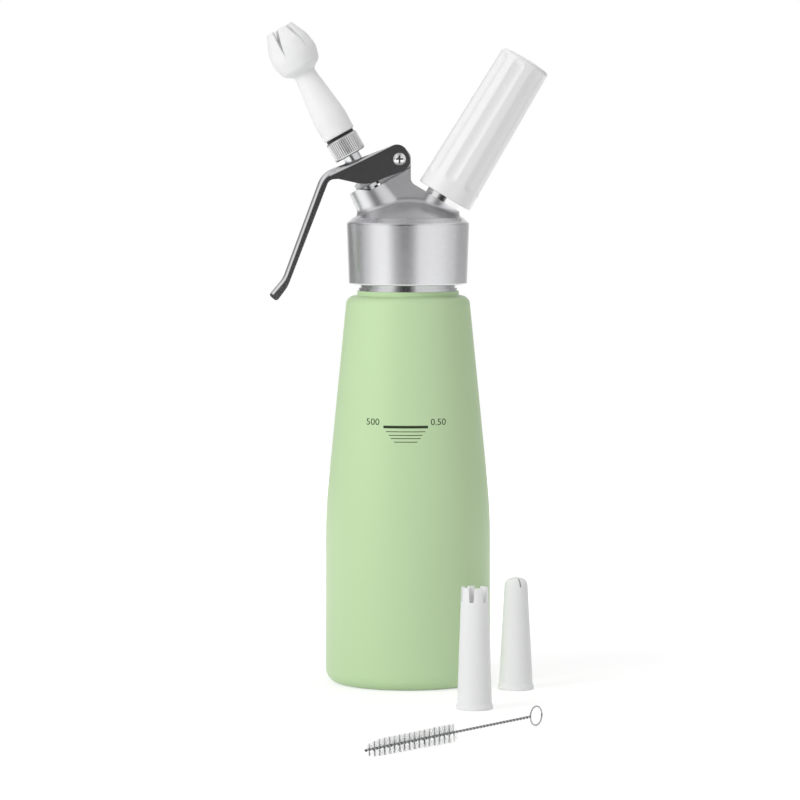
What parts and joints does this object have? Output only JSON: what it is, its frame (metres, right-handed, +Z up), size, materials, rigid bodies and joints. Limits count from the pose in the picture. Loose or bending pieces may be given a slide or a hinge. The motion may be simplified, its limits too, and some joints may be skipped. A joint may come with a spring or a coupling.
{
  "type": "whipped cream dispenser",
  "caption": "Lever-operated gas whipper: tall bottle, screw-on head with valve, nozzle and charger holder, with spare nozzles and a cleaning brush.",
  "frame": {"origin": "centre of the bottle's base face", "axes": "+Z up along the bottle's axis; the valve and lever lean towards -X, the gas charger towards +X; -Y is the front, where the spare nozzles and the brush lie"},
  "size_m": [0.1395, 0.2951, 0.3312],
  "materials": {
    "powder_coat": "satin powder coat, bare aluminium on the neck and inside",
    "cast_aluminium": "satin brushed cast aluminium",
    "lever_steel": "brushed stainless steel",
    "stainless_steel": "turned stainless steel",
    "plated_nut": "bright plated",
    "spring_steel": "drawn spring wire",
    "knurled_steel": "knurled",
    "chromed_brass": "polished plating",
    "brass": "turned brass",
    "charger_steel": "lacquered steel",
    "charger_cap_steel": "stamped",
    "white_plastic": "moulded white, satin",
    "gloss_white_plastic": "moulded white, glossy",
    "black_rubber": "moulded",
    "grey_rubber": "moulded silicone",
    "brush_wire_steel": "twisted wire",
    "nylon_bristle": "fine nylon bristles"
  },
  "bodies": {
    "bottle": {"bottle": "powder_coat"},
    "gasket": {"head_gasket": "grey_rubber"},
    "head": {"head_casting": "cast_aluminium", "stem_seal": "black_rubber", "valve_spring": "spring_steel", "charger_port": "chromed_brass", "piercing_pin": "stainless_steel", "port_seal": "black_rubber", "check_valve": "black_rubber", "check_valve_cap": "brass"},
    "lever": {"lever": "lever_steel", "pivot_sleeve": "stainless_steel", "pivot_screw": "stainless_steel"},
    "valve": {"valve_stem": "stainless_steel", "valve_washer": "black_rubber", "valve_collar": "stainless_steel", "stem_nut": "plated_nut", "adapter_ring": "knurled_steel"},
    "nozzle_seal": {"adapter_seal": "black_rubber"},
    "nozzle": {"tulip_nozzle": "white_plastic"},
    "charger": {"gas_charger": "charger_steel", "charger_cap": "charger_cap_steel"},
    "holder": {"charger_holder": "gloss_white_plastic", "holder_insert": "brass"},
    "star_nozzle": {"star_nozzle": "white_plastic"},
    "slit_nozzle": {"slit_nozzle": "white_plastic"},
    "brush": {"brush_wire": "brush_wire_steel", "brush_bristles": "nylon_bristle"}
  },
  "joints": [
    {"name": "head_rise", "type": "slide", "parent": "bottle", "child": "gasket", "axis": [0, 0, 1], "range_m": [0, 0.01205]},
    {"name": "head_turn", "type": "hinge", "parent": "gasket", "child": "head", "pos_m": [0, 0, 0.2137], "axis": [0, 0, 1], "range_deg": [0, 1080]},
    {"name": "lever_squeeze", "type": "hinge", "parent": "head", "child": "lever", "pos_m": [-0.0042, 0, 0.2624], "axis": [0, -1, 0], "range_deg": [0, 8.5], "stiffness_Nm_per_rad": 4, "springref_deg": -5.73},
    {"name": "valve_travel", "type": "slide", "parent": "head", "child": "valve", "axis": [0.4924, 0, -0.8704], "range_m": [0, 0.0024], "deforming": ["valve_spring"]},
    {"name": "nozzle_lift", "type": "slide", "parent": "valve", "child": "nozzle_seal", "axis": [-0.4924, 0, 0.8704], "range_m": [0, 0.00905]},
    {"name": "nozzle_turn", "type": "hinge", "parent": "nozzle_seal", "child": "nozzle", "pos_m": [-0.03447, 0, 0.27463], "axis": [-0.4924, 0, 0.8704], "range_deg": [0, 2160]},
    {"name": "charger_rise", "type": "slide", "parent": "head", "child": "charger", "axis": [0.515, 0, 0.8572], "range_m": [0, 0.01205]},
    {"name": "holder_turn", "type": "hinge", "parent": "charger", "child": "holder", "pos_m": [0.0206, 0, 0.24799], "axis": [0.515, 0, 0.8572], "range_deg": [0, 2880]},
    {"name": "star_nozzle_lift", "type": "slide", "parent": "bottle", "child": "star_nozzle", "axis": [0, 0, 1], "range_m": [0, 0.08]},
    {"name": "slit_nozzle_lift", "type": "slide", "parent": "bottle", "child": "slit_nozzle", "axis": [0, 0, 1], "range_m": [0, 0.08]},
    {"name": "brush_lift", "type": "slide", "parent": "bottle", "child": "brush", "axis": [0, 0, 1], "range_m": [0, 0.08]}
  ],
  "couplings": [
    {"joint": "head_rise", "follows": "head_turn", "m_per_rad": 0.00063662},
    {"joint": "valve_travel", "follows": "lever_squeeze", "m_per_rad": 0.0159},
    {"joint": "nozzle_lift", "follows": "nozzle_turn", "m_per_rad": 0.00023873},
    {"joint": "charger_rise", "follows": "holder_turn", "m_per_rad": 0.00023873}
  ]
}
